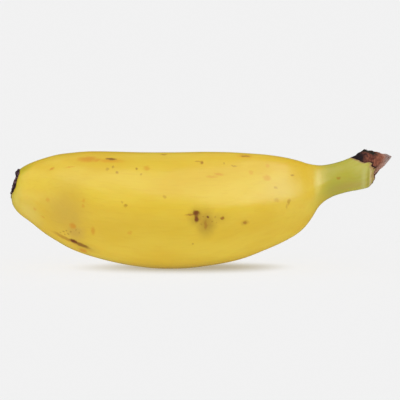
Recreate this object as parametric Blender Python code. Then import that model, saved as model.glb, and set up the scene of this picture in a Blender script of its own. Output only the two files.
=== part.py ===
"""Baby banana, a single ripe fruit with its stalk, lying on its outer curve.

Blender 4.5. Metres, +Z up. The fruit curves in the XZ plane, with its blossom end at -X and its stalk
at +X. The origin is on the surface that it lies on, under the middle of its length.
"""

import math

import bmesh
import bpy
from mathutils import Vector

MM = 0.001

# Driving dimensions of the fruit, in millimetres
LENGTH = 110.0  # blossom end to the furthest point of the torn stalk
DEPTH = 33.6  # thickest place, in the plane of the curve
WIDTH = 32.4  # thickest place, across the plane of the curve
FLAT_SINK = 0.25  # how far the outer curve is pressed flat where it lies

# Cross-sections from the blossom end to the stalk, as shares of LENGTH and DEPTH. Each has its inner
# edge (x, z), its outer edge (x, z), its width as a share of its own depth, and how angular it is.
SECTIONS = (
    ((-0.4850, 0.828), (-0.4978, 0.620), 0.98, 2.2),
    ((-0.4715, 0.868), (-0.4950, 0.562), 0.98, 2.4),
    ((-0.4500, 0.910), (-0.4805, 0.492), 0.98, 2.8),
    ((-0.4180, 0.950), (-0.4495, 0.414), 0.98, 3.2),
    ((-0.3760, 0.989), (-0.4035, 0.300), 0.98, 3.6),
    ((-0.3235, 1.008), (-0.3460, 0.182), 0.97, 3.9),
    ((-0.2605, 1.013), (-0.2730, 0.095), 0.97, 4.1),
    ((-0.1790, 1.005), (-0.1820, 0.028), 0.96, 4.3),
    ((-0.0870, 1.001), (-0.0870, -0.001), 0.96, 4.6),
    ((0.0050, 1.004), (0.0150, 0.022), 0.96, 5.2),
    ((0.0890, 1.002), (0.1100, 0.096), 0.97, 6.0),
    ((0.1600, 0.990), (0.1855, 0.196), 0.98, 6.8),
    ((0.2150, 0.966), (0.2360, 0.284), 0.99, 7.2),
    ((0.2540, 0.933), (0.2690, 0.366), 0.99, 7.0),
    ((0.2805, 0.903), (0.2900, 0.446), 0.98, 6.4),
    ((0.3065, 0.889), (0.3110, 0.546), 0.97, 5.6),
    ((0.3330, 0.897), (0.3420, 0.625), 0.98, 5.0),
    ((0.3645, 0.923), (0.3800, 0.669), 1.02, 4.6),
    ((0.3905, 0.956), (0.4120, 0.688), 1.05, 4.2),
    ((0.4090, 0.990), (0.4355, 0.705), 1.03, 3.8),
    ((0.4275, 1.030), (0.4600, 0.738), 0.95, 3.4),
    ((0.4485, 1.071), (0.4960, 0.790), 0.86, 3.2),
    ((0.4800, 1.123), (0.5270, 0.840), 0.78, 3.0),
)
RINGS_PER_SECTION = 3
RING_POINTS = 44

# Directions that the five faces of the peel look in, in degrees from the front (-Y) up over the top
FACE_ANGLES = (38.0, 116.0, 192.0, 266.0, 328.0)

# Blossom end: a dry scar with a low rim, a groove inside it and a knob where the flower sat.
# Each ring has its size as a share of the first section and its height above it, in millimetres.
SCAR_RINGS = ((0.94, 0.35), (0.80, 0.05), (0.48, 0.05), (0.32, 0.32), (0.14, 0.42))

# Torn crown at the end of the stalk: two cut planes that meet in an edge. Each corner is a share of
# LENGTH, a distance across in millimetres, and a share of DEPTH.
CROWN_BACK = (0.4262, 0.0, 1.029)
CROWN_FAR_TIP = (0.5005, 4.5, 0.957)
CROWN_NEAR_TIP = (0.4815, -4.5, 0.985)
CROWN_HEEL = (0.4318, 0.0, 0.722)
CUTTER_SIDE = 60.0

PEEL_YELLOW = (0.82, 0.58, 0.08, 1.0)
PEEL_ROUGHNESS = 0.45


def side_point(along, up, across=0.0):
    """A point of the fruit, in millimetres, from its shares of LENGTH and DEPTH."""
    return Vector((along * LENGTH, across, up * DEPTH - FLAT_SINK))


def smooth_value(knots, values, at):
    """The value at a place between knots, on a curve that passes through all values smoothly."""
    last = len(knots) - 1
    k = min(max(i for i in range(len(knots)) if knots[i] <= at or i == 0), last - 1)

    def slope(i):
        before, after = max(i - 1, 0), min(i + 1, last)
        return (values[after] - values[before]) / (knots[after] - knots[before])

    span = knots[k + 1] - knots[k]
    t = (at - knots[k]) / span
    start = (2 * t**3 - 3 * t**2 + 1) * values[k] + (t**3 - 2 * t**2 + t) * span * slope(k)
    end = (3 * t**2 - 2 * t**3) * values[k + 1] + (t**3 - t**2) * span * slope(k + 1)
    return start + end


def peel_outline(angular):
    """Points (across, up) round a five-faced section, reaching exactly 1 to the front, back, top and foot.

    A low value of angular gives a round section, and a high one sharp ridges.
    """
    points = []
    for i in range(RING_POINTS):
        angle = 2 * math.pi * i / RING_POINTS
        faces = (max(0.0, math.cos(angle - math.radians(face))) for face in FACE_ANGLES)
        radius = sum(face**angular for face in faces) ** (-1 / angular)
        points.append((-radius * math.cos(angle), radius * math.sin(angle)))
    low_y, high_y = min(p[0] for p in points), max(p[0] for p in points)
    low_z, high_z = min(p[1] for p in points), max(p[1] for p in points)
    return [
        ((2 * y - low_y - high_y) / (high_y - low_y), (2 * z - low_z - high_z) / (high_z - low_z))
        for y, z in points
    ]


def fruit_rings():
    """All rings of the peel, as lists of points in millimetres, from the scar to past the torn crown."""
    inner = [side_point(*section[0]) for section in SECTIONS]
    outer = [side_point(*section[1]) for section in SECTIONS]
    widest = max(
        (a - b).length * section[2] for a, b, section in zip(inner, outer, SECTIONS)
    )
    knots = [0.0]
    for k in range(1, len(SECTIONS)):
        middle_step = (inner[k] + outer[k] - inner[k - 1] - outer[k - 1]).length / 2
        knots.append(knots[-1] + middle_step)
    rings = []
    for k in range(len(SECTIONS) - 1):
        for step in range(RINGS_PER_SECTION):
            at = knots[k] + (knots[k + 1] - knots[k]) * step / RINGS_PER_SECTION
            rings.append(ring_at(at, knots, inner, outer, WIDTH / widest))
    rings.append(ring_at(knots[-1], knots, inner, outer, WIDTH / widest))
    return rings


def ring_at(at, knots, inner, outer, width_scale):
    """The ring of points where the fruit's middle line has run a given way, in millimetres."""
    top = smooth_value(knots, inner, at)
    foot = smooth_value(knots, outer, at)
    plumpness = smooth_value(knots, [section[2] for section in SECTIONS], at)
    angular = smooth_value(knots, [section[3] for section in SECTIONS], at)
    middle, up = (top + foot) / 2, (top - foot) / 2
    across = Vector((0.0, up.length * plumpness * width_scale, 0.0))
    return [middle + y * across + z * up for y, z in peel_outline(angular)]


def ring_middle(ring):
    return sum(ring, Vector()) / len(ring)


def scar_rings(first_ring):
    """The rings of the dry scar at the blossom end, from its knob out to its rim."""
    middle = ring_middle(first_ring)
    up = (first_ring[RING_POINTS // 4] - first_ring[3 * RING_POINTS // 4]).normalized()
    outward = Vector((0.0, 1.0, 0.0)).cross(up).normalized()
    if outward.x > 0:
        outward = -outward
    return [
        [middle + (point - middle) * size + outward * height for point in first_ring]
        for size, height in reversed(SCAR_RINGS)
    ]


def loft(name, rings):
    """A closed skin over the rings, with a fan of triangles over the first and the last."""
    bm = bmesh.new()
    rows = [[bm.verts.new(point * MM) for point in ring] for ring in rings]
    for row, after in zip(rows, rows[1:]):
        for i in range(RING_POINTS):
            j = (i + 1) % RING_POINTS
            bm.faces.new((row[i], row[j], after[j], after[i]))
    for row, ring in ((rows[0], rings[0]), (rows[-1], rings[-1])):
        pole = bm.verts.new(ring_middle(ring) * MM)
        for i in range(RING_POINTS):
            bm.faces.new((row[i], row[(i + 1) % RING_POINTS], pole))
    bmesh.ops.recalc_face_normals(bm, faces=bm.faces)
    mesh = bpy.data.meshes.new(name)
    bm.to_mesh(mesh)
    bm.free()
    return bpy.data.objects.new(name, mesh)


def cutting_block(name, point, outward):
    """A block with one face through a point, looking against outward, that removes what lies beyond."""
    bpy.ops.mesh.primitive_cube_add(size=CUTTER_SIDE * MM)
    block = bpy.context.object
    block.name = name
    block.rotation_mode = "QUATERNION"
    block.rotation_quaternion = outward.to_track_quat("Z", "Y")
    block.location = (point + outward.normalized() * CUTTER_SIDE / 2) * MM
    block.hide_render = True
    block.display_type = "WIRE"
    return block


def cut(target, block):
    modifier = target.modifiers.new(block.name, "BOOLEAN")
    modifier.operation = "DIFFERENCE"
    modifier.solver = "EXACT"
    modifier.object = block


def collection(name):
    made = bpy.data.collections.new(name)
    bpy.context.scene.collection.children.link(made)
    return made


def move_to(target, obj):
    for owner in list(obj.users_collection):
        owner.objects.unlink(obj)
    target.objects.link(obj)


def peel_material():
    material = bpy.data.materials.new("banana_peel")
    material.use_nodes = True
    shader = material.node_tree.nodes["Principled BSDF"]
    shader.inputs["Base Color"].default_value = PEEL_YELLOW
    shader.inputs["Roughness"].default_value = PEEL_ROUGHNESS
    return material


# Clear the scene
for old in list(bpy.data.objects):
    bpy.data.objects.remove(old)

# Banana: peel, stalk and blossom end, grown as one piece
rings = fruit_rings()
banana = loft("banana", scar_rings(rings[0]) + rings)
banana.data.materials.append(peel_material())
move_to(collection("baby_banana"), banana)

# Cuts: the two faces of the torn crown, and the small flat that the fruit lies on
cutters = collection("cutters")
back, far_tip, near_tip, heel = (
    side_point(along, up, across)
    for along, across, up in (CROWN_BACK, CROWN_FAR_TIP, CROWN_NEAR_TIP, CROWN_HEEL)
)
top_normal = (near_tip - back).cross(far_tip - back)
end_normal = (far_tip - heel).cross(near_tip - heel)
resting_point = Vector((0.0, 0.0, 0.0))
for block in (
    cutting_block("crown_top_cut", back, top_normal),
    cutting_block("crown_end_cut", heel, end_normal),
    cutting_block("resting_flat", resting_point, Vector((0.0, 0.0, -1.0))),
):
    move_to(cutters, block)
    cut(banana, block)

banana.data.shade_smooth()
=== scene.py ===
"""A ripe baby banana that lies on its outer curve on a pale surface, in soft studio light.

Blender 4.5, metres, +Z up. The solid comes from model.glb, and everything here is made around it.
The blossom end is at -X and the torn end of the stalk at +X. Shapes are worked out in millimetres and
scaled as they are built.
"""

import math

import bmesh
import bpy
import numpy as np
from mathutils import Matrix, Vector


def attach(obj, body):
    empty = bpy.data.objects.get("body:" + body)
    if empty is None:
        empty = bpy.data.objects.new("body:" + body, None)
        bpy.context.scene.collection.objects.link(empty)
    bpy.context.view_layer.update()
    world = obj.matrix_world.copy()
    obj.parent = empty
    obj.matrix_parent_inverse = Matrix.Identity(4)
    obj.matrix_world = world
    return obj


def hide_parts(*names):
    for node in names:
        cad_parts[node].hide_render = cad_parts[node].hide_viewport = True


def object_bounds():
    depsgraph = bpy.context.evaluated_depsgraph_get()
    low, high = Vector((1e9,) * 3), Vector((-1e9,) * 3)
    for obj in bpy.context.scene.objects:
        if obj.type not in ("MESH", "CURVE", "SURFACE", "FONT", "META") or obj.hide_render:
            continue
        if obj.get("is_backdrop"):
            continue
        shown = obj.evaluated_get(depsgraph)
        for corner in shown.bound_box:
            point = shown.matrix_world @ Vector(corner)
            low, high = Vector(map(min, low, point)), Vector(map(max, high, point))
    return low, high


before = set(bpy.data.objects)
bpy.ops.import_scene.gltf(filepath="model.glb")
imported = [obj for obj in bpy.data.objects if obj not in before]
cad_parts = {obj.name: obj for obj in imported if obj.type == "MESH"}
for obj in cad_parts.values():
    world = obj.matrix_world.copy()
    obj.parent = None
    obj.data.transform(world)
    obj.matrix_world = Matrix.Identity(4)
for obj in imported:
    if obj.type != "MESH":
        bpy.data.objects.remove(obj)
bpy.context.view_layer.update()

MM = 0.001

# Camera. A long lens, far enough away that both ends of the fruit look alike, held a little above the
# surface. It looks square at the fruit's side, which nearly fills its picture from left to right.
PICTURE_SIDE = 400  # pixels
MM_PER_PIXEL = 0.28887  # where the fruit's middle plane is
VIEW_HEIGHT = math.radians(6.0)
VIEW_DISTANCE = 700.0
VIEW_CENTRE = Vector((-0.35, 0.0, 19.70))
SENSOR = 36.0
seen_width = PICTURE_SIDE * MM_PER_PIXEL

camera = bpy.data.objects.new("camera", bpy.data.cameras.new("camera"))
bpy.context.scene.collection.objects.link(camera)
bpy.context.scene.camera = camera
camera.data.sensor_width = SENSOR
camera.data.lens = SENSOR * VIEW_DISTANCE / seen_width
camera.data.clip_start = 0.05
camera.data.clip_end = 100.0
to_camera = Vector((0.0, -math.cos(VIEW_HEIGHT), math.sin(VIEW_HEIGHT)))
camera.location = (VIEW_CENTRE + to_camera * VIEW_DISTANCE) * MM
camera.rotation_euler = (math.pi / 2 - VIEW_HEIGHT, 0.0, 0.0)


def look_through(column, row):
    """The direction in which the camera sees a place in its picture, in pixels from the top left."""
    right = Vector((1.0, 0.0, 0.0))
    up = right.cross(-to_camera)
    across = (column - PICTURE_SIDE / 2) * MM_PER_PIXEL / VIEW_DISTANCE
    down = (row - PICTURE_SIDE / 2) * MM_PER_PIXEL / VIEW_DISTANCE
    return (-to_camera + right * across - up * down).normalized()


# Peel. One smooth waxy skin over body, neck and stalk, with five soft faces and ridges between them. It is
# lofted over the fruit's own cross-sections, dented a little, and pressed flat where it lies.
LENGTH = 110.0
DEPTH = 33.6
WIDTH = 32.4
FLAT_SINK = 0.25
FACE_ANGLES = np.radians((38.0, 116.0, 192.0, 266.0, 328.0))
# Each section: inner edge (x, z), outer edge (x, z), width as a share of its own depth, and how angular it is
SECTIONS = (
    ((-0.4850, 0.828), (-0.4978, 0.620), 0.98, 2.2),
    ((-0.4715, 0.868), (-0.4950, 0.562), 0.98, 2.4),
    ((-0.4500, 0.910), (-0.4805, 0.492), 0.98, 2.8),
    ((-0.4180, 0.950), (-0.4495, 0.414), 0.98, 3.2),
    ((-0.3760, 0.989), (-0.4035, 0.300), 0.98, 3.6),
    ((-0.3235, 1.008), (-0.3460, 0.182), 0.97, 3.9),
    ((-0.2605, 1.013), (-0.2730, 0.095), 0.97, 4.1),
    ((-0.1790, 1.005), (-0.1820, 0.028), 0.96, 4.3),
    ((-0.0870, 1.001), (-0.0870, -0.001), 0.96, 4.6),
    ((0.0050, 1.004), (0.0150, 0.022), 0.96, 5.2),
    ((0.0890, 1.002), (0.1100, 0.096), 0.97, 6.0),
    ((0.1600, 0.990), (0.1855, 0.196), 0.98, 6.8),
    ((0.2150, 0.966), (0.2360, 0.284), 0.99, 7.2),
    ((0.2540, 0.933), (0.2690, 0.366), 0.99, 7.0),
    ((0.2805, 0.903), (0.2900, 0.446), 0.98, 6.4),
    ((0.3065, 0.889), (0.3110, 0.546), 0.97, 5.6),
    ((0.3330, 0.897), (0.3420, 0.625), 0.98, 5.0),
    ((0.3645, 0.923), (0.3800, 0.669), 1.02, 4.6),
    ((0.3905, 0.956), (0.4120, 0.688), 1.05, 4.2),
    ((0.4090, 0.990), (0.4355, 0.705), 1.03, 3.8),
    ((0.4275, 1.030), (0.4600, 0.738), 0.95, 3.4),
    ((0.4485, 1.071), (0.4960, 0.790), 0.86, 3.2),
    ((0.4800, 1.123), (0.5270, 0.840), 0.78, 3.0),
)
# The five faces turn a little round the fruit on their way to the stalk: shares of LENGTH along, and degrees
FACE_TURN = (
    (-0.45, 4.0),
    (-0.13, 6.5),
    (-0.05, 5.0),
    (0.04, 2.0),
    (0.10, -2.0),
    (0.17, -9.0),
    (0.24, -12.0),
    (0.32, 0.0),
)
# Corners of the two faces that the stalk is torn along: x and z as shares, and millimetres across
CROWN_BACK = (0.4262, 0.0, 1.029)
CROWN_FAR_TIP = (0.5005, 4.5, 0.957)
CROWN_NEAR_TIP = (0.4815, -4.5, 0.985)
CROWN_HEEL = (0.4318, 0.0, 0.722)


def side_point(along, up, across=0.0):
    """A point of the fruit in millimetres, from its shares of LENGTH and DEPTH."""
    return np.array((along * LENGTH, across, up * DEPTH - FLAT_SINK))


inner_edge = np.array([side_point(*section[0]) for section in SECTIONS])
outer_edge = np.array([side_point(*section[1]) for section in SECTIONS])
width_share = np.array([section[2] for section in SECTIONS])
how_angular = np.array([section[3] for section in SECTIONS])
section_middle = (inner_edge + outer_edge) / 2
steps = np.linalg.norm(np.diff(section_middle, axis=0), axis=1)
section_place = np.concatenate(((0.0,), np.cumsum(steps)))
turn_along, turn_degrees = np.array(FACE_TURN).T
face_turn = np.radians(np.interp(section_middle[:, 0], turn_along * LENGTH, turn_degrees))
widest = (np.linalg.norm(inner_edge - outer_edge, axis=1) * width_share).max()


def curve_through(values, place):
    """The smooth curve through one value or point for each section, at places along the fruit."""
    knots = section_place.reshape((-1,) + (1,) * (values.ndim - 1))
    slopes = np.gradient(values, section_place, axis=0)
    slopes[1:-1] = (values[2:] - values[:-2]) / (knots[2:] - knots[:-2])
    before = np.clip(np.searchsorted(section_place, place, side="right") - 1, 0, len(SECTIONS) - 2)
    span = section_place[before + 1] - section_place[before]
    t = (place - section_place[before]) / span
    weights = (
        2 * t**3 - 3 * t**2 + 1,
        (t**3 - 2 * t**2 + t) * span,
        3 * t**2 - 2 * t**3,
        (t**3 - t**2) * span,
    )
    parts = (values[before], slopes[before], values[before + 1], slopes[before + 1])
    extra = (1,) * (values.ndim - 1)
    return sum(weight.reshape(weight.shape + extra) * part for weight, part in zip(weights, parts))


def five_faces(angle, angular, turn):
    """Across and up of a five-faced section, before it is fitted to its box."""
    facing = np.maximum(np.cos((angle - turn)[..., None] - FACE_ANGLES), 0.0)
    reach = (facing ** angular[..., None]).sum(-1) ** (-1 / angular)
    return np.stack((-reach * np.cos(angle), reach * np.sin(angle)), axis=-1)


# How far the five-faced outline reaches to each side, at places all along the fruit
reach_place = np.linspace(section_place[0], section_place[-1], 300)
whole_turn = np.linspace(0.0, 2 * math.pi, 361)
all_outlines = five_faces(
    whole_turn[None, :] + 0 * reach_place[:, None],
    curve_through(how_angular, reach_place)[:, None],
    curve_through(face_turn, reach_place)[:, None],
)
least_reach = all_outlines.min(axis=1)
most_reach = all_outlines.max(axis=1)


def skin_points(place, angle, size=1.0, raised=0.0):
    """Points of the fruit in millimetres, and the same points in a fruit that is pulled straight.

    place is along the fruit and angle is round it, from the front up over the top. size shrinks the section,
    and raised lifts the point from the skin.
    """
    place, angle, size, raised = np.broadcast_arrays(place, angle, size, raised)
    top, foot = curve_through(inner_edge, place), curve_through(outer_edge, place)
    angular = curve_through(how_angular, place)
    middle, up = (top + foot) / 2, (top - foot) / 2
    half_depth = np.linalg.norm(up, axis=-1)
    half_width = half_depth * curve_through(width_share, place) * WIDTH / widest
    outline = five_faces(angle, angular, curve_through(face_turn, place))
    for side in (0, 1):
        least = np.interp(place, reach_place, least_reach[:, side])
        most = np.interp(place, reach_place, most_reach[:, side])
        outline[..., side] = (2 * outline[..., side] - least - most) / (most - least)
    across, height = outline[..., 0] * half_width, outline[..., 1] * half_depth
    length = np.maximum(np.hypot(across, height), 1e-6)
    scale = size * (1 + raised / length)
    across, height = across * scale, height * scale
    points = middle + up / half_depth[..., None] * height[..., None]
    points[..., 1] += across
    return points, np.stack((place, across, height), axis=-1)


def ripples(points, wavelength, seed, waves=16):
    """Smooth irregular bumps, mostly from -1 to 1, summed from waves in seeded random directions."""
    random = np.random.default_rng(seed)
    total = np.zeros(points.shape[:-1])
    for _ in range(waves):
        direction = random.normal(size=3)
        direction /= np.linalg.norm(direction)
        turns = 2 * math.pi / (wavelength * random.uniform(0.6, 1.6))
        total += np.sin(points @ direction * turns + random.uniform(0.0, 2 * math.pi))
    return total / math.sqrt(waves)


def layered(points, layers):
    """Ripples of several heights, wavelengths and seeds, one on another."""
    return sum(height * ripples(points, wavelength, seed) for height, wavelength, seed in layers)


def on_circle(angle):
    """Points at angles round a circle of radius 1, where ripples that run round something are read."""
    return np.stack((np.cos(angle), np.sin(angle), np.zeros_like(angle)), axis=-1)


def smooth_step(value, low, high):
    """0 up to low, 1 from high on, and a smooth step in between."""
    t = np.clip((value - low) / (high - low), 0.0, 1.0)
    return t * t * (3 - 2 * t)


def torn_place(angle, size=1.0):
    """How far along the stalk each of its lines is when it meets the torn faces."""
    back, far_tip, near_tip, heel = (
        side_point(along, up, across)
        for along, across, up in (CROWN_BACK, CROWN_FAR_TIP, CROWN_NEAR_TIP, CROWN_HEEL)
    )
    top_normal = np.cross(near_tip - back, far_tip - back)
    end_normal = np.cross(far_tip - heel, near_tip - heel)
    place = np.linspace(section_place[-6], section_place[-1], 500)
    points, _ = skin_points(place.reshape((-1,) + (1,) * angle.ndim), angle, size)
    over_top = (points - back) @ (top_normal / np.linalg.norm(top_normal))
    over_end = (points - heel) @ (end_normal / np.linalg.norm(end_normal))
    beyond = np.maximum(over_top, over_end)
    first = np.maximum(np.argmax(beyond > 0, axis=0), 1)
    inside = np.take_along_axis(beyond, first[None] - 1, axis=0)[0]
    outside = np.take_along_axis(beyond, first[None], axis=0)[0]
    share = inside / (inside - outside)
    on_top = np.take_along_axis(over_top > over_end, first[None], axis=0)[0]
    return place[first - 1] + share * (place[first] - place[first - 1]), on_top


def closed_skin(rings):
    """Corners and faces of a skin over rings of points, closed by a fan at each end."""
    count, around = rings.shape[:2]
    corners = np.concatenate((rings.reshape(-1, 3), rings[:1].mean(1), rings[-1:].mean(1)))
    ring = np.arange(around)
    after = (ring + 1) % around
    start = (np.arange(count - 1) * around)[:, None]
    quads = np.stack((start + ring, start + around + ring, start + around + after, start + after), axis=-1)
    last = start[-1] + around
    first_fan = np.stack((ring, after, np.full(around, count * around)), axis=-1)
    last_fan = np.stack((last + after, last + ring, np.full(around, count * around + 1)), axis=-1)
    return corners, [*quads.reshape(-1, 4).tolist(), *first_fan.tolist(), *last_fan.tolist()]


def piece_of(name, skins, material):
    """One object from closed skins in millimetres, which rides with the fruit."""
    corners, faces, used = [], [], 0
    for skin_corners, skin_faces in skins:
        corners.append(skin_corners * MM)
        faces += [[corner + used for corner in face] for face in skin_faces]
        used += len(skin_corners)
    mesh = bpy.data.meshes.new(name)
    mesh.from_pydata(np.concatenate(corners).tolist(), [], faces)
    bm = bmesh.new()
    bm.from_mesh(mesh)
    bmesh.ops.recalc_face_normals(bm, faces=bm.faces)
    bm.to_mesh(mesh)
    bm.free()
    mesh.shade_smooth()
    mesh.materials.append(material)
    made = bpy.data.objects.new(name, mesh)
    bpy.context.scene.collection.objects.link(made)
    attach(made, "root")
    return made


def save_on(piece, name, values):
    """Saves a number or a vector for each corner of a piece's mesh, which its material reads."""
    kind, field = ("FLOAT", "value") if values.ndim == 1 else ("FLOAT_VECTOR", "vector")
    saved = piece.data.attributes.new(name, kind, "POINT")
    saved.data.foreach_set(field, values.astype(np.float32).ravel())


class Wire:
    """A value that a shader node gives. Python's operators on it add Math nodes."""

    def __init__(self, paint, socket):
        self.paint = paint
        self.socket = socket

    def __add__(self, other):
        return self.paint.maths("ADD", self, other)

    def __sub__(self, other):
        return self.paint.maths("SUBTRACT", self, other)

    def __rsub__(self, other):
        return self.paint.maths("SUBTRACT", other, self)

    def __mul__(self, other):
        return self.paint.maths("MULTIPLY", self, other)

    def rise(self, low, high):
        """0 up to low, 1 from high on, and a smooth step in between."""
        settings = {"interpolation_type": "SMOOTHSTEP"}
        return self.paint.node("ShaderNodeMapRange", settings, {0: self, 1: low, 2: high})


class Paint:
    """The nodes of one material, and the finish that they feed."""

    def __init__(self, name, **finish):
        self.material = bpy.data.materials.new(name)
        self.material.use_nodes = True
        self.tree = self.material.node_tree
        self.finish = self.tree.nodes["Principled BSDF"]
        for socket, value in finish.items():
            self.finish.inputs[socket.replace("_", " ").title().replace("Ior", "IOR")].default_value = value

    def node(self, kind, settings=None, inputs=None, output=0):
        """Adds a node, sets it up, gives its sockets their values or links, and returns an output."""
        made = self.tree.nodes.new(kind)
        for name, value in (settings or {}).items():
            setattr(made, name, value)
        for socket, value in (inputs or {}).items():
            if isinstance(value, Wire):
                self.tree.links.new(value.socket, made.inputs[socket])
            else:
                made.inputs[socket].default_value = value
        return Wire(self, made.outputs[output])

    def maths(self, operation, first, second):
        return self.node("ShaderNodeMath", {"operation": operation}, {0: first, 1: second})

    def feed(self, socket, wire):
        self.tree.links.new(wire.socket, self.finish.inputs[socket])

    def mix(self, below, above, share):
        """Colour above laid over colour below."""
        return self.node("ShaderNodeMix", {"data_type": "RGBA"}, {0: share, 6: below, 7: above}, output=2)

    def vector_maths(self, operation, first, second):
        return self.node("ShaderNodeVectorMath", {"operation": operation}, {0: first, 1: second})

    def axis(self, vector, name):
        return self.node("ShaderNodeSeparateXYZ", {}, {0: vector}, name)

    def saved(self, name, output="Vector"):
        """What save_on has put on the mesh under this name."""
        return self.node("ShaderNodeAttribute", {"attribute_name": name}, output=output)

    def place(self):
        """The place in space, in millimetres."""
        metres = self.node("ShaderNodeTexCoord", output="Object")
        return self.vector_maths("MULTIPLY", metres, (1 / MM,) * 3)

    def grain(self, where, per_mm, detail=3.0, output=0):
        """Soft noise with its own scale along each axis of where."""
        scaled = self.vector_maths("MULTIPLY", where, per_mm)
        return self.node("ShaderNodeTexNoise", {}, {"Vector": scaled, "Scale": 1.0, "Detail": detail}, output)

    def bump(self, height, distance_mm, strength):
        inputs = {"Height": height, "Distance": distance_mm * MM, "Strength": strength}
        return self.node("ShaderNodeBump", {}, inputs)


def tone(red, green, blue):
    """A colour for a shader, from the 0 to 255 that a screen shows."""

    def linear(value):
        share = value / 255
        return share / 12.92 if share <= 0.04045 else ((share + 0.055) / 1.055) ** 2.4

    return (linear(red), linear(green), linear(blue), 1.0)


# The peel's own shape
AROUND = 224
BODY_ROWS = 210
STALK_ROWS = 110
CAP_ROWS = 8
HUSK_DEPTH = 0.45  # how thick the dry crown is over the green stalk
LEAST_HUSK = 0.25  # how far it reaches back from the torn faces at least
HUSK_RAGGED = ((0.16, 0.9, 3), (0.10, 0.3, 4))
stalk_start = float(section_place[14])
angles = np.linspace(0.0, 2 * math.pi, AROUND, endpoint=False)

# The dry crown's edge on the green stalk: degrees round the stalk, and millimetres back from the torn faces
HUSK_EDGE = (
    (0.0, 1.5),
    (5.0, 3.0),
    (10.0, 4.3),
    (16.0, 4.9),
    (22.0, 4.6),
    (28.0, 5.7),
    (37.0, 5.6),
    (48.0, 5.1),
    (66.0, 4.8),
    (90.0, 4.4),
    (120.0, 4.8),
    (150.0, 3.4),
    (175.0, 3.8),
    (195.0, 2.2),
    (215.0, 1.0),
    (250.0, 0.5),
    (335.0, 0.5),
    (352.0, 0.7),
)
# Where the green peel reaches past the torn end like a lip: degrees round the stalk, and millimetres past it
PEEL_LIP = (
    (200.0, 0.0),
    (228.0, 0.5),
    (245.0, 1.7),
    (262.0, 2.7),
    (285.0, 3.2),
    (310.0, 3.2),
    (330.0, 2.4),
    (343.0, 1.2),
    (352.0, 0.3),
    (357.0, 0.0),
)
LIP_THICK = 0.35
LIP_ROLL = 0.6  # how far it bends in
LIP_ROLL_LENGTH = 1.9
# The lip's inside: millimetres back from its edge, and depth in times its thickness
LIP_INSIDE = ((-0.06, 0.5), (0.02, 0.8), (0.8, 1.0), (2.3, 2.2), (2.8, 3.4))
SCAR_BED = 0.5  # how deep the skin dips under the scar
# Where the skin ends at the blossom scar: degrees round the fruit, and millimetres along it
SCAR_EDGE = (
    (0.0, 0.7),
    (45.0, 0.85),
    (90.0, 0.55),
    (180.0, 0.4),
    (250.0, 0.1),
    (300.0, 0.0),
    (335.0, 0.2),
)


def by_degrees(table, angle):
    """The value of a table of degrees and values, at angles round the stalk."""
    degrees, values = np.array(table).T
    return np.interp(np.degrees(angle), degrees, values, period=360.0)


def around_scar(angle, size):
    """Where the skin ends at the blossom scar, in millimetres along the fruit, and its face in between."""
    edge = by_degrees(SCAR_EDGE, angle)
    return edge.mean() + (edge - edge.mean()) * size


def under_lip(angle):
    """1 where the peel's lip covers the torn end's rim, and 0 where the dry crown covers the peel."""
    return smooth_step(by_degrees(PEEL_LIP, angle), 0.02, 0.25)


def husk_edge(angle):
    """Where the dry crown begins, in millimetres along the fruit, with a ragged line."""
    back = by_degrees(HUSK_EDGE, angle)
    back = back + layered(on_circle(angle), HUSK_RAGGED)
    return torn_place(angle)[0] - np.maximum(back, LEAST_HUSK)


# Where the skin is fuller or leaner than its sections: millimetres along, how far that reaches, degrees
# round, and by how much
FULL_ALL_OVER = 0.05
FULLER = (
    (4.0, 8.0, 90.0, -0.18),
    (5.0, 7.0, 270.0, 0.4),
    (section_place[4], 3.0, 270.0, 0.25),
    (section_place[9], 22.0, 90.0, 0.2),
    (section_place[9], 6.0, 270.0, -0.3),
    (section_place[13], 5.0, 270.0, 0.3),
    (section_place[15], 3.5, 270.0, -0.3),
    (section_place[17], 9.0, 90.0, 0.15),
    (section_place[17], 9.0, 270.0, 0.15),
)

# Swells and dents of the living skin, drawn out along it: how high and how far apart they are, in millimetres
SWELL_HEIGHT = 0.13
SWELL_SPACING = 17.0
DENT_HEIGHT = 0.04
DENT_SPACING = 5.0
STALK_SHARE = 0.3  # what is left of them on the stalk
FADE_LENGTH = 12.0  # over which they fade towards it


def skin_relief(place, angle):
    """How far the living skin stands from its sections, in millimetres."""
    straight = skin_points(place, angle)[1]
    body = smooth_step(section_place[-5] - place, 0.0, FADE_LENGTH)
    slow = SWELL_HEIGHT * ripples(straight * (0.5, 1.0, 1.0), SWELL_SPACING, seed=11)
    quick = DENT_HEIGHT * ripples(straight * (0.4, 1.0, 1.0), DENT_SPACING, seed=12)
    relief = FULL_ALL_OVER + (slow + quick) * (STALK_SHARE + (1 - STALK_SHARE) * body)
    for middle, reach, degrees, height in FULLER:
        facing = np.maximum(np.cos(angle - math.radians(degrees)), 0.0)
        relief = relief + height * facing**2 * np.exp(-(((place - middle) / reach) ** 2))
    return relief


def press_flat(points):
    """The outer curve eases into the level surface instead of passing through it."""
    ease = 0.06
    points[..., 2] = (points[..., 2] + np.sqrt(points[..., 2] ** 2 + ease**2)) / 2
    return points


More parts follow.
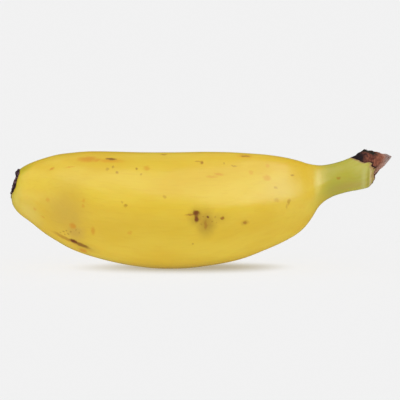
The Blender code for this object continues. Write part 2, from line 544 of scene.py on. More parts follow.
def peel_rings():
    """All rings of the peel, the same rings pulled straight, and how far each point is from its torn edge."""
    lip = under_lip(angles)
    uneven = 1 + 0.06 * ripples(on_circle(angles), 0.6, seed=5)
    skin_end = torn_place(angles)[0] - HUSK_DEPTH * (1 - lip) + by_degrees(PEEL_LIP, angles) * uneven
    edge = np.where(lip > 0.5, skin_end, husk_edge(angles))
    body_share = np.linspace(0.0, 1.0, BODY_ROWS, endpoint=False)[:, None]
    body_start = around_scar(angles, 1.0)
    body = body_start + (stalk_start - body_start) * body_share
    share = np.linspace(0.0, 1.0, STALK_ROWS)[:, None]
    stalk = stalk_start + (skin_end - stalk_start) * share
    place = np.concatenate((body, stalk))
    under_husk = smooth_step(place - husk_edge(angles), -0.1, 0.5) * (1 - lip)
    rolled_in = lip * LIP_ROLL * smooth_step(place - skin_end, -LIP_ROLL_LENGTH, 0.0) ** 1.5
    raised = skin_relief(place, angles) * (1 - under_husk) - HUSK_DEPTH * under_husk - rolled_in
    points, straight = skin_points(place, angles, 1.0, raised)
    sizes = np.linspace(0.1, 0.97, CAP_ROWS)[:, None]
    scar_bed = SCAR_BED * smooth_step(1 - sizes, 0.05, 0.2) + around_scar(angles, sizes)
    blossom, blossom_straight = skin_points(scar_bed, angles, sizes, 0.0)
    inside, inside_straight = [], []
    for back, deep in LIP_INSIDE:
        raised_inside = raised[-1] - LIP_THICK * deep
        ring, ring_straight = skin_points(skin_end - back * lip, angles, 1.0, raised_inside)
        inside.append(ring)
        inside_straight.append(ring_straight)
    far_off = np.full((CAP_ROWS, AROUND), LENGTH)
    return (
        np.concatenate((blossom, press_flat(points), inside)),
        np.concatenate((blossom_straight, straight, inside_straight)),
        np.concatenate((far_off, edge - place, np.zeros((len(inside), AROUND)))),
    )


peel_paint = Paint("banana_peel", specular_ior_level=0.7, subsurface_weight=0.12)
peel_paint.finish.inputs["Subsurface Radius"].default_value = (1.0, 0.45, 0.12)
peel_paint.finish.inputs["Subsurface Scale"].default_value = 1.5 * MM
rings, straight_rings, edge_gaps = peel_rings()
peel = piece_of("peel", [closed_skin(rings)], peel_paint.material)
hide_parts("banana")
save_on(peel, "straight", closed_skin(straight_rings)[0])
save_on(peel, "from_edge", np.append(edge_gaps.ravel(), (LENGTH, 0.0)))

# What the peel's colour is worked out from: millimetres in space, and in the fruit pulled straight
where = peel_paint.place()
straight = peel_paint.saved("straight")
along = peel_paint.axis(straight, "X")


def place_at(column):
    """How far along the fruit its middle is at a column of the picture."""
    x = (column - PICTURE_SIDE / 2) * MM_PER_PIXEL + VIEW_CENTRE.x
    return float(np.interp(x, section_middle[:, 0], section_place))


# Ripe yellow in soft patches with faint lengthwise fibres, and green at the stalk and the blossom end
RIPE_YELLOW = tone(244, 204, 50)
LIGHT_YELLOW = tone(250, 216, 66)
FIBRE_YELLOW = tone(232, 184, 44)
STALK_GREEN = tone(197, 188, 60)
STALK_PALE = tone(213, 207, 116)
STALK_OLIVE = tone(164, 150, 50)
BLOSSOM_GREEN = tone(216, 203, 42)
patches = peel_paint.grain(straight, (0.045, 0.11, 0.11))
fibres = peel_paint.grain(straight, (0.16, 1.9, 1.9))
peel_colour = peel_paint.mix(RIPE_YELLOW, LIGHT_YELLOW, patches.rise(0.35, 0.65))
peel_colour = peel_paint.mix(peel_colour, FIBRE_YELLOW, fibres.rise(0.48, 0.75) * 0.2)
blossom_green = 1 - (along + patches * 4).rise(2.2, 6.5)
peel_colour = peel_paint.mix(peel_colour, BLOSSOM_GREEN, blossom_green * 0.5)
stalk_green = (along + (patches - 0.5) * 5).rise(place_at(306), place_at(334))
peel_colour = peel_paint.mix(peel_colour, STALK_GREEN, stalk_green)
stalk_fibres = peel_paint.grain(straight, (0.14, 0.6, 0.6))
stalk_pale = along.rise(place_at(344), place_at(364)) * stalk_fibres.rise(0.25, 0.8) * 0.75
peel_colour = peel_paint.mix(peel_colour, STALK_PALE, stalk_pale)

# Marks on the peel that the camera sees, mostly its own spots, bruises and patches, and a few that paint
# light and shade.
# Each group has its colour and how soft its edges are, and each mark its column, row, length and width in
# pixels, turn in degrees, and strength.
PEEL_MARKS = (
    (tone(236, 196, 8), 0.95, (
        (180, 230, 110, 34, 0, 0.45),
        (148, 160, 80, 14, 0, 0.45),
        (226, 214, 30, 24, 0, 0.35),
    )),
    (tone(192, 148, 84), 0.9, (
        (65, 208, 32, 48, 0, 0.25),
        (73, 219, 16, 26, 0, 0.25),
        (60, 205, 12, 16, 0, 0.12),
        (75, 232, 16, 14, 0, 0.4),
        # On the stalk: a brownish streak that is also painted shade of its lower face
        (350, 186, 34, 6, 12, 0.3),
    )),
    (tone(164, 110, 0), 0.95, (
        (206, 223, 15, 21, 0, 0.55),
        (198, 217, 14, 15, 0, 0.5),
        (217, 218, 16, 9, 0, 0.22),
        (84, 247, 24, 7, -26, 0.3),
    )),
    (tone(190, 188, 10), 0.9, (
        (25, 169, 15, 4, 38, 0.4),
    )),
    # Pale: the narrow light streak on the neck and the light rim at the lower left end are painted
    # highlights, the patch in the bright band on the right is partly bleached peel and partly painted
    # highlight, and the one at the blossom tip is paler peel
    (tone(248, 232, 128), 0.95, (
        (317.5, 182, 6, 18, 0, 0.55),
        (16.5, 202, 8, 16, 0, 0.3),
        (284, 190, 40, 24, 0, 0.3),
        (29, 213, 26, 12, -38, 0.4),
    )),
    (tone(232, 150, 0), 0.6, (
        (88, 159, 18, 5, -2, 0.7),
        (97, 160, 7, 3, 30, 0.6),
        (51.8, 168.6, 4.5, 2.4, 25, 0.8),
        (69.6, 166.8, 9, 1.2, 0, 0.4),
        (83.5, 201, 3, 3, 0, 0.4),
        (83, 206, 3, 3, 0, 0.4),
        (48, 200, 4, 4, 0, 0.35),
        (34.8, 209, 3, 2.5, 0, 0.35),
        (43, 217, 4, 2, 0, 0.4),
        (93, 231, 4, 7, 0, 0.55),
        (73, 226, 6, 5, 0, 0.7),
        (83, 250.7, 8, 3.5, -25, 0.7),
        (129.8, 232.9, 4, 4, 0, 0.35),
        (146.8, 168, 6, 4, 0, 0.5),
        (251, 172.6, 4, 4, 0, 0.35),
        (267.5, 165.5, 4, 4, 0, 0.35),
        (267, 177.8, 7, 5, 0, 0.4),
        (219, 174, 8, 3, 0, 0.5),
        (212, 176.6, 10, 2.5, 0, 0.35),
        (245, 156, 13, 3, -4, 0.45),
        (111, 160.5, 22, 4, 0, 0.45),
    )),
    (tone(184, 116, 0), 0.5, (
        (107, 169, 3.2, 3, 0, 0.4),
        (113, 167, 2.2, 2.2, 0, 0.5),
        (117, 172.6, 3, 2.2, 0, 0.6),
        (136.6, 168.8, 2, 2, 0, 0.7),
        (141, 174.8, 2, 2, 0, 0.4),
        (125.7, 205.5, 3.2, 3, 0, 0.6),
        (122, 202, 2, 2, 0, 0.35),
        (163.8, 154.7, 6, 1.6, 0, 0.7),
        (201.7, 162.3, 3.4, 3, 0, 0.8),
        (198, 161.6, 7, 1.3, 0, 0.5),
        (234, 166, 5.5, 1.5, 0, 0.5),
        (224, 163, 2, 2, 0, 0.4),
        (164.2, 197, 3, 3, 0, 0.4),
        (190.5, 214.4, 9, 1.8, 8, 0.7),
        (205.7, 225, 2.8, 9, 0, 0.55),
        (292.5, 175.2, 4, 2, 0, 0.6),
        (275.7, 187.4, 3, 2, 0, 0.35),
        (289, 202, 2.5, 6, -10, 0.45),
        (287, 206, 2, 5, 0, 0.3),
        (276.7, 200.2, 5, 4, 0, 0.25),
        (192.8, 243.6, 2, 2, 0, 0.5),
        (244.6, 223, 3.8, 3, 0, 0.8),
        (244.6, 223, 7, 5, 0, 0.3),
        (222.2, 218.1, 3.6, 3.4, 0, 0.95),
        (203, 216.6, 1.5, 1.5, 0, 0.6),
        (212, 221.6, 1.5, 1.5, 0, 0.5),
        (215.5, 217, 1.4, 1.4, 0, 0.45),
        (216.6, 222.4, 1.4, 1.4, 0, 0.35),
        (201.5, 224.4, 1.6, 1.6, 0, 0.4),
        (63.4, 231.6, 2, 1.4, 0, 0.6),
        (66.4, 231.0, 2, 1.3, 0, 0.6),
        (68.2, 233.6, 1.8, 1.6, 0, 0.6),
        (70.8, 231.8, 1.6, 1.4, 0, 0.5),
        (64.6, 234.2, 1.6, 1.2, 0, 0.5),
        (60.4, 232.6, 1.8, 1.2, 0, 0.4),
        (76, 230.2, 1.6, 1.6, 0, 0.4),
        (79.4, 233, 1.6, 1.6, 0, 0.4),
        (66, 238.6, 26, 3, -22, 0.55),
        (338.5, 177.8, 4, 2.6, 10, 0.6),
    )),
    (tone(134, 68, 0), 0.5, (
        (111, 159, 9.5, 2.2, 0, 0.8),
        (245, 156, 8, 1.6, -5, 0.55),
        (196.2, 213.2, 5.6, 5.2, 0, 0.95),
        (196.3, 216.0, 3.6, 5.0, 0, 0.7),
        (196.3, 218.6, 3.8, 6.6, 0, 0.95),
        (208.4, 216.8, 2.4, 2.4, 0, 0.9),
        (74, 241.4, 9, 3.0, -24, 1.0),
        (81, 244.8, 17, 3.0, -26, 0.75),
    )),
)
ROUGHNESS_OF_MARKS = 1.0  # how far their outlines stray, in millimetres
LEAST_MARK_DEPTH = 3.0
LEAST_SLOPE_SHARE = 0.35  # a mark that is seen at a slant is never made longer than this allows
rough_place = peel_paint.grain(where, (0.9, 0.9, 0.9), 2.0, output="Color")
rough_place = peel_paint.vector_maths("MULTIPLY", rough_place, (ROUGHNESS_OF_MARKS,) * 3)
rough_place = peel_paint.vector_maths("ADD", where, rough_place)
rough_place = peel_paint.vector_maths("SUBTRACT", rough_place, (ROUGHNESS_OF_MARKS / 2,) * 3)


def seen_on_peel(column, row):
    """The point of the peel in millimetres that the camera sees at a place in its picture, and its normal."""
    found, point, normal, _ = peel.ray_cast(camera.location, look_through(column, row))
    if not found:
        raise ValueError(f"the camera sees no peel at {column}, {row}")
    return point / MM, normal


def mark_cover(point, ahead, normal, length, width, edge, strength):
    """How strongly one oval mark covers each place on the peel."""
    side = normal.cross(ahead)
    turned = Matrix((ahead, side, normal)).transposed().to_euler()
    reach = Vector((length / 2, width / 2, max(length, width, LEAST_MARK_DEPTH))) * (1 + edge)
    inputs = {"Vector": rough_place, "Location": point, "Rotation": turned, "Scale": reach}
    inside = peel_paint.node("ShaderNodeMapping", {"vector_type": "TEXTURE"}, inputs)
    ball = peel_paint.node("ShaderNodeTexGradient", {"gradient_type": "SPHERICAL"}, {"Vector": inside}, "Fac")
    return ball.rise(0.0, 2 * edge / (1 + edge)) * strength


def picture_mark(column, row, length, width, turn, strength, edge):
    """A mark that is measured in the picture, at its true size on the sloping peel."""
    point, normal = seen_on_peel(column, row)
    turn = math.radians(turn)
    right, up = Vector((1.0, 0.0, 0.0)), Vector((1.0, 0.0, 0.0)).cross(-to_camera)
    seen_ahead = right * math.cos(turn) + up * math.sin(turn)
    seen_side = up * math.cos(turn) - right * math.sin(turn)
    ahead = (seen_ahead - normal * seen_ahead.dot(normal)).normalized()
    length = length * MM_PER_PIXEL / max(abs(ahead.dot(seen_ahead)), LEAST_SLOPE_SHARE)
    width = width * MM_PER_PIXEL / max(abs(normal.cross(ahead).dot(seen_side)), LEAST_SLOPE_SHARE)
    return mark_cover(point, ahead, normal, length, width, edge, strength)


# Like marks where the camera doesn't see: colour, edge, how many, and the most that length, width and
# strength can be
HIDDEN_MARKS = (
    (tone(160, 132, 40), 0.9, 5, 14.0, 7.0, 0.35),
    (tone(214, 136, 0), 0.6, 9, 5.0, 1.6, 0.7),
    (tone(176, 110, 0), 0.5, 16, 1.3, 0.9, 0.9),
    (tone(120, 58, 4), 0.5, 6, 5.0, 0.9, 0.95),
)
HIDDEN_START = 6.0  # millimetres along the fruit
HIDDEN_SIDE = (98.0, 264.0)  # degrees round it


def hidden_mark(random, length, width, strength, edge):
    """A mark somewhere on the far side, mostly lengthwise like the ones in front."""
    place = random.uniform(HIDDEN_START, stalk_start + HIDDEN_START)
    angle = math.radians(random.uniform(*HIDDEN_SIDE))
    places, turned = np.array((place, place + 0.5, place)), np.array((angle, angle, angle + 0.05))
    point, ahead, side = skin_points(places, turned)[0]
    ahead, side = Vector(ahead - point).normalized(), Vector(side - point).normalized()
    normal = ahead.cross(side).normalized()
    length, width = length * random.uniform(0.4, 1.0), width * random.uniform(0.5, 1.0)
    return mark_cover(Vector(point), ahead, normal, length, width, edge, strength * random.uniform(0.5, 1.0))


bpy.context.view_layer.update()
for colour, edge, marks in PEEL_MARKS:
    cover = 0.0
    for mark in marks:
        cover = peel_paint.maths("MAXIMUM", picture_mark(*mark, edge), cover)
    peel_colour = peel_paint.mix(peel_colour, colour, cover)
random = np.random.default_rng(51)
for colour, edge, count, length, width, strength in HIDDEN_MARKS:
    cover = 0.0
    for _ in range(count):
        cover = peel_paint.maths("MAXIMUM", hidden_mark(random, length, width, strength, edge), cover)
    peel_colour = peel_paint.mix(peel_colour, colour, cover)

# The peel's torn edge is dried: a pale brown lip, and a red-brown line at the very edge, which along the dry
# crown's edge is also painted shadow under that edge
EDGE_PALE = tone(186, 150, 96)
EDGE_BROWN_AND_SHADOW = tone(112, 62, 34)
# Shrunken folds that run round the stalk, drawn only as darker olive and paler bands of colour: where they
# end along X, and for each its colour, where it starts, peaks and ends back from there, and its strength
WRINKLES_END = 50.3
WRINKLES = (
    (STALK_OLIVE, 0.5, 1.0, 1.5, 0.7),
    (tone(220, 186, 150), 1.3, 1.7, 2.1, 0.8),
    (STALK_OLIVE, 2.0, 2.4, 2.9, 0.5),
    (tone(218, 214, 140), 2.7, 3.6, 4.8, 0.4),
)
from_edge = peel_paint.saved("from_edge", "Fac") + (fibres - 0.5) * 0.5
stalk_x = peel_paint.axis(where, "X")
wrinkles = WRINKLES_END - stalk_x + (stalk_fibres - 0.5) * 0.5
below_crown = 1 - peel_paint.axis(straight, "Z").rise(-0.5, 2.2)
for colour, start, middle, end, share in WRINKLES:
    band = wrinkles.rise(start, middle) * (1 - wrinkles.rise(middle, end)) * below_crown
    peel_colour = peel_paint.mix(peel_colour, colour, band * share)
near_lip = stalk_x.rise(47.6, 48.6)
peel_colour = peel_paint.mix(peel_colour, EDGE_PALE, (1 - (from_edge - near_lip * 0.4).rise(0.3, 1.0)) * 0.75)
# Red-brown line at the edge: dried peel, and painted shadow where the dry crown's edge stands over the stalk
peel_colour = peel_paint.mix(peel_colour, EDGE_BROWN_AND_SHADOW, 1 - from_edge.rise(0.12, 0.34))
peel_paint.feed("Base Color", peel_colour)
pores = peel_paint.grain(where, (2.6, 2.6, 2.6), 2.0)
peel_paint.feed("Normal", peel_paint.bump(fibres + pores * 0.6, 0.12, 0.35))
peel_paint.feed("Roughness", fibres * 0.1 + 0.29)

# Dry crown. What the tear left of the stalk's wide base: a cap of dead brown tissue over the end of the
# green stalk. Its edge on the stalk is ragged and stands a little proud, it is fibrous, and it ends in two
# torn faces.
HUSK_ROWS = 46
FACE_ROWS = 44
HUSK_RIM = 0.18  # how far its edge stands from the stalk
LUMP_HEIGHT = 0.13
HUSK_FIBRE_HEIGHT = 0.07
TEAR_ROUGH = 0.18
TEAR_FINE = 0.11
TORN_HOLLOW = 0.45  # how deep its torn faces are inside their rim
FIN_HEIGHT = 0.55  # how far the rim's far side stands past the rest
FIN_AT = 170.0  # degrees round the stalk
FIN_SPREAD = 55.0
SUNK_UNDER_LIP = 1.15  # how far it keeps inside the peel's lip
# Its hidden root: millimetres past its edge, the least before the torn faces, size as a share of the stalk's,
# depth in millimetres, and how much of the lip's share it sinks by
HUSK_ROOT = (
    (1.2, 0.7, 0.5, 0.0, 0.0),
    (1.2, 0.7, 1.0, 0.95, 0.5),
    (0.3, 0.35, 1.0, 0.75, 0.6),
    (-0.05, 0.0, 1.0, 0.25, 0.9),
)
STALK_THICK = 9.0
CROWN_DARK = tone(40, 24, 28)
CROWN_OLIVE = tone(46, 42, 32)
CROWN_BROWN = tone(112, 58, 44)
CROWN_RUST = tone(158, 94, 70)
FACE_TAN = tone(214, 170, 150)
TIP_GREY = tone(170, 156, 152)


def husk_relief(place, angle, edge, end):
    """How far the dry crown's skin stands from the stalk's own shape, in millimetres."""
    straight = skin_points(place, angle)[1]
    room = np.clip((end - edge) / 2.0, 0.15, 1.0)
    past_edge = place - edge
    rim = HUSK_RIM * smooth_step(past_edge, -0.02, 0.12) * (1 - 0.7 * smooth_step(past_edge, 0.4, 1.6))
    lumps = LUMP_HEIGHT * ripples(straight, 2.4, seed=21)
    fibres = HUSK_FIBRE_HEIGHT * ripples(straight * (0.18, 1.0, 1.0), 0.55, seed=22)
    return (rim + lumps + fibres) * room


def husk_rings():
    """The dry crown's rings, from its hidden root over its side and across its torn faces.

    Beside them, for each point: how far it is from the crown's edge on the stalk and from its torn rim, in
    millimetres, and whether it is on the side (0), the top face (1) or the end face (2).
    """
    edge = husk_edge(angles)
    end = torn_place(angles)[0]
    sunk = SUNK_UNDER_LIP * under_lip(angles)
    far_side = np.exp(-(((np.degrees(angles) - FIN_AT) / FIN_SPREAD) ** 2))
    fin = FIN_HEIGHT * far_side * (0.75 + 0.35 * ripples(on_circle(angles), 0.25, seed=23))
    rings = []
    for past, before, size, deep, sink_share in HUSK_ROOT:
        place = np.minimum(edge + past, end - before)
        rings.append(skin_points(place, angles, size, -deep - sunk * sink_share)[0])
    places = [np.stack((0 * angles, end - edge, 0 * angles), axis=-1)] * len(rings)
    for share in np.linspace(0.0, 1.0, HUSK_ROWS) ** 1.2:
        place = edge + (end - edge) * share
        relief = husk_relief(place, angles, edge, end) - sunk
        rings.append(skin_points(place + fin * smooth_step(share, 0.7, 1.0), angles, 1.0, relief)[0])
        places.append(np.stack((place - edge, end - place, 0 * angles), axis=-1))
    rim_relief = husk_relief(end, angles, edge, end) - sunk
    for size in np.linspace(0.97, 0.04, FACE_ROWS):
        end, on_top = torn_place(angles, np.full_like(angles, size))
        flat = skin_points(end, angles, size)[0]
        coarse, fine = flat * (1.0, 2.2, 0.6), flat * (0.8, 2.5, 0.5)
        torn = TEAR_ROUGH * ripples(coarse, 1.1, seed=24) + TEAR_FINE * ripples(fine, 0.4, seed=25)
        hollow = TORN_HOLLOW * smooth_step(1 - size, 0.02, 0.22)
        stand = fin * (1 - smooth_step(1 - size, 0.03, 0.10))
        place = end - hollow + torn * smooth_step(1 - size, 0.0, 0.1) + stand
        rings.append(skin_points(place, angles, size, rim_relief * size**3)[0])
        rim_gap = (1 - size) * STALK_THICK / 2 + 0 * angles
        places.append(np.stack((end - edge, rim_gap, np.where(on_top, 1.0, 2.0)), axis=-1))
    return np.stack(rings), np.stack(places)


crown_paint = Paint("dry_crown", roughness=0.72, specular_ior_level=0.3)
rings, crown_places = husk_rings()
crown = piece_of("torn_crown", [closed_skin(rings)], crown_paint.material)
crown_ends = crown_places[:1, 0], crown_places[-1:, 0]
save_on(crown, "on_crown", np.concatenate((crown_places.reshape(-1, 3), *crown_ends)))

# Almost black where it begins on the stalk, red-brown in streaks further out, and paler at its tip and
# torn end. Places along X and Y are in millimetres.
crown_where = crown_paint.place()
crown_x = crown_paint.axis(crown_where, "X")
crown_y = crown_paint.axis(crown_where, "Y")
on_crown = crown_paint.saved("on_crown")
from_stalk, from_rim, on_face = (crown_paint.axis(on_crown, name) for name in "XYZ")
broad = crown_paint.grain(crown_where, (0.55, 0.55, 0.35))
streaks = crown_paint.grain(crown_where, (2.2, 2.2, 0.7))
rusty = streaks.rise(0.42, 0.68) + crown_x.rise(48.8, 51.0) * 0.65
crown_colour = crown_paint.mix(CROWN_BROWN, CROWN_RUST, rusty)
crown_dark = 1 - (crown_x + (broad - 0.5) * 6).rise(45.2, 48.9)
crown_colour = crown_paint.mix(crown_colour, CROWN_DARK, crown_dark.rise(0.0, 1.0))
crown_colour = crown_paint.mix(crown_colour, CROWN_DARK, broad.rise(0.52, 0.66) * 0.35)
dark_rim = (1 - (from_rim + (streaks - 0.5) * 1.5).rise(0.5, 1.5)) * (1 - crown_x.rise(49.5, 51.5))
crown_colour = crown_paint.mix(crown_colour, CROWN_OLIVE, dark_rim)
# Painted shade: a near-black line along the crown's edge where it stands over the stalk
painted_edge_shadow = (1 - from_stalk.rise(0.15, 0.5)) * crown_x.rise(47.8, 49.2)
crown_colour = crown_paint.mix(crown_colour, CROWN_DARK, painted_edge_shadow)
light_rim = (1 - (from_rim + (streaks - 0.5) * 1.2).rise(0.2, 0.9)) * crown_x.rise(51.0, 53.0)
crown_colour = crown_paint.mix(crown_colour, FACE_TAN, light_rim * 0.6)
far_rim = (1 - from_rim.rise(0.3, 1.8)) * crown_y.rise(-1.0, 3.0)
torn_end = on_face.rise(1.5, 1.95)
torn_tan = far_rim * 0.5 + streaks * crown_y.rise(-4.5, 0.5)
crown_colour = crown_paint.mix(crown_colour, FACE_TAN, torn_end * torn_tan)
crown_colour = crown_paint.mix(crown_colour, TIP_GREY, crown_x.rise(52.3, 54.0) * 0.75)
crown_paint.feed("Base Color", crown_colour)
crown_paint.feed("Normal", crown_paint.bump(streaks + broad * 0.5, 0.35, 0.6))

# Blossom scar. The dry dark disc where the flower sat: a low ragged rim, a groove inside it, and a withered
# knob.
SCAR_AROUND = 120
SCAR_ROWS = 40
# From the hidden underside over the rim to the knob: share of the peel's first section, and height above it
SCAR_PROFILE = (
    (0.30, -0.70),
    (0.80, -0.60),
    (0.97, -0.30),
    (1.05, 0.00),
    (1.06, 0.30),
    (1.00, 0.52),
    (0.90, 0.44),
    (0.76, 0.14),
    (0.50, 0.06),
    (0.37, 0.16),
    (0.30, 0.50),
    (0.20, 0.72),
    (0.10, 0.66),
    (0.03, 0.52),
)
# How tall its rim stands: degrees round the fruit, and share of the height above
SCAR_RIM = (
    (0.0, 1.5),
    (14.0, 1.9),
    (30.0, 1.6),
    (45.0, 1.0),
    (70.0, 1.2),
    (90.0, 1.0),
    (180.0, 1.2),
    (230.0, 0.5),
    (285.0, 0.35),
    (320.0, 0.7),
    (345.0, 1.0),
)
SCAR_DARK = tone(44, 24, 32)
SCAR_GREY = tone(112, 82, 92)
SCAR_TAN = tone(158, 138, 108)
SCAR_FOOT = (20.6, 22.6)  # heights in millimetres between which it turns pale
SCAR_RAGGED = ((0.045, 0.9, 31), (0.025, 0.25, 32))  # as a share of its size
SCAR_WRINKLES = ((0.07, 1.1, 33), (0.05, 0.45, 34))
blossom_up = (inner_edge[0] - outer_edge[0]) / np.linalg.norm(inner_edge[0] - outer_edge[0])
blossom_out = np.cross(blossom_up, (0.0, 1.0, 0.0))
blossom_out *= -np.sign(blossom_out[0])


def scar_rings():
    """The scar's rings, from its hidden underside over its rim to the middle of its knob."""
    around = np.linspace(0.0, 2 * math.pi, SCAR_AROUND, endpoint=False)
    circle = on_circle(around)
    profile = np.array(SCAR_PROFILE)
    reached = np.linspace(0, len(profile) - 1, SCAR_ROWS)
    size = np.interp(reached, np.arange(len(profile)), profile[:, 0])
    height = np.interp(reached, np.arange(len(profile)), profile[:, 1])
    flat = skin_points(around_scar(around, size[:, None]), around, size[:, None])[0]
    tall = by_degrees(SCAR_RIM, around) + 0.15 * ripples(circle, 0.5, seed=36)
    rim = smooth_step(size, 0.6, 0.95)[:, None]
    ragged = 1 + rim * layered(circle, SCAR_RAGGED)
    middle = section_middle[0]
    flat = middle + (flat - middle) * ragged[..., None]
    above = smooth_step(height, 0.0, 0.1)[:, None]
    lift = height[:, None] * (1 + above * rim * (tall - 1)) + above * layered(flat, SCAR_WRINKLES)
    return flat + blossom_out * lift[..., None]


scar_paint = Paint("dry_scar", roughness=0.8, specular_ior_level=0.25)
scar = piece_of("blossom_scar", [closed_skin(scar_rings())], scar_paint.material)
scar_where = scar_paint.place()
scar_grain = scar_paint.grain(scar_where, (1.6, 1.6, 1.6), 4.0)
scar_colour = scar_paint.mix(SCAR_DARK, SCAR_GREY, scar_grain.rise(0.45, 0.65))
scar_foot = 1 - scar_paint.axis(scar_where, "Z").rise(*SCAR_FOOT)
scar_paint.feed("Base Color", scar_paint.mix(scar_colour, SCAR_TAN, scar_foot * 0.8))
scar_paint.feed("Normal", scar_paint.bump(scar_grain, 0.4, 0.7))

# Dry scraps. Withered ends of the flower on the scar's rim, and torn fibres that stand out of the crown's
# faces. Each is one thin curled piece that is rooted in what it grew from.
SCRAP_AROUND = 10
SCRAP_ROWS = 12
# Where the scar's scraps stand in degrees, root as a share of its size, height, and lean outwards
TOP_SCRAP_AT = 84.0
SCAR_SCRAPS_AT = (TOP_SCRAP_AT, 20.0, 62.0, 128.0, 196.0, 250.0, 318.0)
TOP_SCRAP = (0.76, 1.1, 0.1)
SCRAP_ROOT = 0.88
SCRAP_TALL = (0.4, 0.65)
SCRAP_LEAN = (0.5, 0.9)
FIBRES_AT = (15, 40, 75, 100, 125, 150, 165, 185, 205)
FIBRE_LENGTH = (0.9, 1.5)
FIBRE_WIDTH = (0.14, 0.4)
FIBRE_THICK = 0.14


def scrap(root, ahead, across, length, width, thickness, curl, seed):
    """One thin curled scrap that tapers to its tip, as a closed skin."""
    ahead = ahead / np.linalg.norm(ahead)
    across = across - ahead * (across @ ahead)
    across /= np.linalg.norm(across)
    lift = np.cross(ahead, across)
    share = np.linspace(0.0, 1.0, SCRAP_ROWS)[:, None]
    around = np.linspace(0.0, 2 * math.pi, SCRAP_AROUND, endpoint=False)
    girth = np.sqrt(np.clip(1 - share**2, 0.0004, 1.0)) * (0.75 + 0.25 * np.sin(math.pi * share))
    stations = np.concatenate((share * length, share * 0, share * 0), axis=-1)[:, None]
    rough = 1 + 0.25 * ripples(stations + on_circle(around), 1.0, seed)
    side = np.cos(around) * girth * rough * width / 2
    high = np.sin(around) * girth * rough * thickness / 2
    high = high + curl * length * share**2
    onward = ahead * (share * length)[..., None]
    return closed_skin(root + onward + across * side[..., None] + lift * high[..., None])


def scar_scraps():
    """Withered flower ends: one stands at the top of the scar, the rest lie along its rim."""
    random = np.random.default_rng(41)
    made = []
    for degrees in SCAR_SCRAPS_AT:
        if degrees == TOP_SCRAP_AT:
            size, tall, lean = TOP_SCRAP
        else:
            size, tall, lean = SCRAP_ROOT, random.uniform(*SCRAP_TALL), random.uniform(*SCRAP_LEAN)
        angle = np.array(np.radians(degrees))
        root = skin_points(by_degrees(SCAR_EDGE, angle), angle, size)[0]
        outward = root - section_middle[0]
        ahead = outward / np.linalg.norm(outward) * lean + blossom_out * 0.6
        across = np.cross(outward, blossom_out)
        curl = random.uniform(-0.2, 0.1)
        made.append(scrap(root, ahead, across, tall, tall * 1.6, tall * 1.6, curl, int(degrees)))
    return made


def crown_scraps():
    """Short torn fibres along the rim of the crown's end."""
    random = np.random.default_rng(42)
    made = []
    for degrees in FIBRES_AT:
        angle = np.array(np.radians(degrees + random.uniform(-5, 5)))
        size = np.array(random.uniform(0.80, 0.95))
        end = torn_place(angle[None], size[None])[0]
        root = skin_points(end - 0.6, angle[None], size)[0][0]
        onward = skin_points(end + 0.4, angle[None], size)[0][0] - root
        ahead = onward / np.linalg.norm(onward) + random.normal(size=3) * 0.25
        length, width = random.uniform(*FIBRE_LENGTH), random.uniform(*FIBRE_WIDTH)
        curl = random.uniform(-0.2, 0.2)
        made.append(scrap(root, ahead, random.normal(size=3), length, width, FIBRE_THICK, curl, degrees))
    return made


piece_of("scar_scraps", scar_scraps(), scar_paint.material)
fibre_paint = Paint("torn_fibres", roughness=0.75)
fibre_grain = fibre_paint.grain(fibre_paint.place(), (0.9, 0.9, 0.9))
fibre_paint.feed("Base Color", fibre_paint.mix(CROWN_BROWN, FACE_TAN, fibre_grain.rise(0.4, 0.7)))
piece_of("crown_fibres", crown_scraps(), fibre_paint.material)

# Surface. A wide pale table top, evenly lit. Right under the fruit a soft shadow is painted into its colour,
# where the space above is closed in, with painted yellow light from the peel in it. The painted shadow leans,
# as if the light came a little from the left, so it reaches further to the right.
FLOOR_SIDE = 80.0  # metres
FLOOR_GREY = 0.14
# The painted contact shadow: what is left of the colour at the contact, how far it reaches, how it leans, and
# how open the space above is
CONTACT_SHARE = (0.38, 0.30, 0.12)  # what is left of its brightness where the fruit touches it
CONTACT_REACH = 12.0
CONTACT_TILT = math.radians(31.0)
CONTACT_OPEN = (-0.2, 0.68)  # how open the space above is, where the shade is full and where it ends
MIRRORED_SHARE = 0.15  # how bright the surface and the room are in the peel's gloss
bpy.ops.mesh.primitive_plane_add(size=FLOOR_SIDE, location=(0.0, 0.0, 0.0))
floor = bpy.context.object
floor.name = "floor"
floor_paint = Paint("pale_surface", roughness=0.9, specular_ior_level=0.0)
painted_shadow_lean = {"X": -math.sin(CONTACT_TILT), "Z": math.cos(CONTACT_TILT)}
painted_shadow_lean = floor_paint.node("ShaderNodeCombineXYZ", {}, painted_shadow_lean)
contact_inputs = {"Distance": CONTACT_REACH * MM, "Normal": painted_shadow_lean}
open_above = floor_paint.node("ShaderNodeAmbientOcclusion", {"samples": 16}, contact_inputs, "AO")
bare_tone = (FLOOR_GREY, FLOOR_GREY, FLOOR_GREY, 1.0)
painted_shadow_tone = (*(FLOOR_GREY * share for share in CONTACT_SHARE), 1.0)
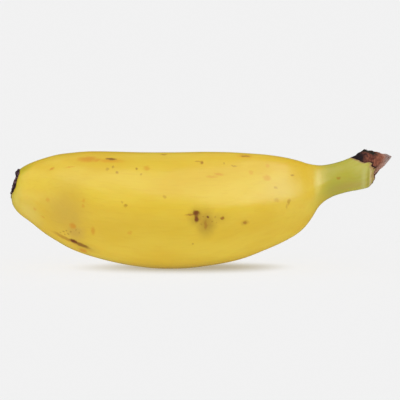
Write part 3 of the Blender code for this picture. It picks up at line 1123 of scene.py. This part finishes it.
# Painted shadow: the bare tone turns darker and yellower where the space above is closed in
floor_paint.feed("Base Color", floor_paint.mix(painted_shadow_tone, bare_tone, open_above.rise(*CONTACT_OPEN)))
mirrored_tone = (*(FLOOR_GREY * MIRRORED_SHARE,) * 3, 1.0)
mirrored = floor_paint.node("ShaderNodeBsdfDiffuse", {}, {"Color": mirrored_tone})
in_gloss = floor_paint.node("ShaderNodeLightPath", output="Is Glossy Ray")
bare_surface = Wire(floor_paint, floor_paint.finish.outputs[0])
either_surface = floor_paint.node("ShaderNodeMixShader", {}, {0: in_gloss, 1: bare_surface, 2: mirrored})
floor_paint.tree.links.new(either_surface.socket, floor_paint.tree.nodes["Material Output"].inputs["Surface"])
floor.data.materials.append(floor_paint.material)
floor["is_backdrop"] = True

# Light. An even white room that is dimmer behind the fruit, a long soft box high over it, one in front of
# it to the right, weak ones behind it and to its left, and a lamp that lights only the table's top.
PAPER_WHITE = 0.887  # what the camera sees of the bare surface
ROOM_LIGHT = 0.53
BEHIND_SHARE = 0.3
TABLE_LIGHT = 18.4
WHITE = (1.0, 1.0, 1.0, 1.0)
FRUIT_MIDDLE = Vector((0.0, 0.0, 0.02))
# Each soft box: its place, width and height in metres, and its watts
SOFT_BOXES = (
    ("top_box", (0.0, -0.19, 0.58), 0.6, 0.12, 0.47),
    ("right_box", (0.28, -0.40, 0.52), 0.35, 0.35, 0.94),
    ("back_box", (-0.10, 0.28, 0.65), 0.6, 0.35, 0.24),
    ("left_low_box", (-0.55, -0.20, 0.06), 0.35, 0.3, 0.21),
    ("left_high_box", (-0.45, -0.05, 0.42), 0.3, 0.3, 0.18),
)


class Room(Paint):
    """The nodes of the world around the scene."""

    def __init__(self, name):
        world = bpy.data.worlds.new(name)
        world.use_nodes = True
        bpy.context.scene.world = world
        self.tree = world.node_tree

    def glow(self, strength):
        return self.node("ShaderNodeBackground", {}, {"Color": WHITE, "Strength": strength})


room = Room("room")
direction = room.node("ShaderNodeTexCoord", output="Generated")
behind = room.axis(direction, "Y").rise(0.2, 0.8)
room_light = room.glow((1 - behind * (1 - BEHIND_SHARE)) * ROOM_LIGHT)
mirrored_room = room.glow(MIRRORED_SHARE * ROOM_LIGHT)
seen_room = room.glow(PAPER_WHITE)
in_gloss = room.node("ShaderNodeLightPath", output="Is Glossy Ray")
in_sight = room.node("ShaderNodeLightPath", output="Is Camera Ray")
unseen_room = room.node("ShaderNodeMixShader", {}, {0: in_gloss, 1: room_light, 2: mirrored_room})
either_room = room.node("ShaderNodeMixShader", {}, {0: in_sight, 1: unseen_room, 2: seen_room})
room.tree.links.new(either_room.socket, room.tree.nodes["World Output"].inputs["Surface"])
bpy.context.scene.view_settings.view_transform = "Standard"


def lamp(name, kind, place, energy, pieces):
    """A lamp that looks at the fruit's middle, and that lights and is shaded by the given pieces only."""
    made = bpy.data.objects.new(name, bpy.data.lights.new(name, kind))
    bpy.context.scene.collection.objects.link(made)
    made.location = place
    made.rotation_euler = (FRUIT_MIDDLE - made.location).to_track_quat("-Z", "Y").to_euler()
    made.data.energy = energy
    made.light_linking.receiver_collection = bpy.data.collections.new(name)
    made.light_linking.blocker_collection = bpy.data.collections.new(name)
    for piece in pieces:
        made.light_linking.receiver_collection.objects.link(piece)
        made.light_linking.blocker_collection.objects.link(piece)
    return made.data


fruit = [piece for piece in bpy.data.objects if piece.type == "MESH" and piece != floor]
for name, place, wide, high, energy in SOFT_BOXES:
    box = lamp(name, "AREA", place, energy, fruit)
    box.shape = "RECTANGLE"
    box.size = wide
    box.size_y = high
lamp("table_lamp", "SUN", (0.0, 0.0, 1.0), TABLE_LIGHT, [floor])

low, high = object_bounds()
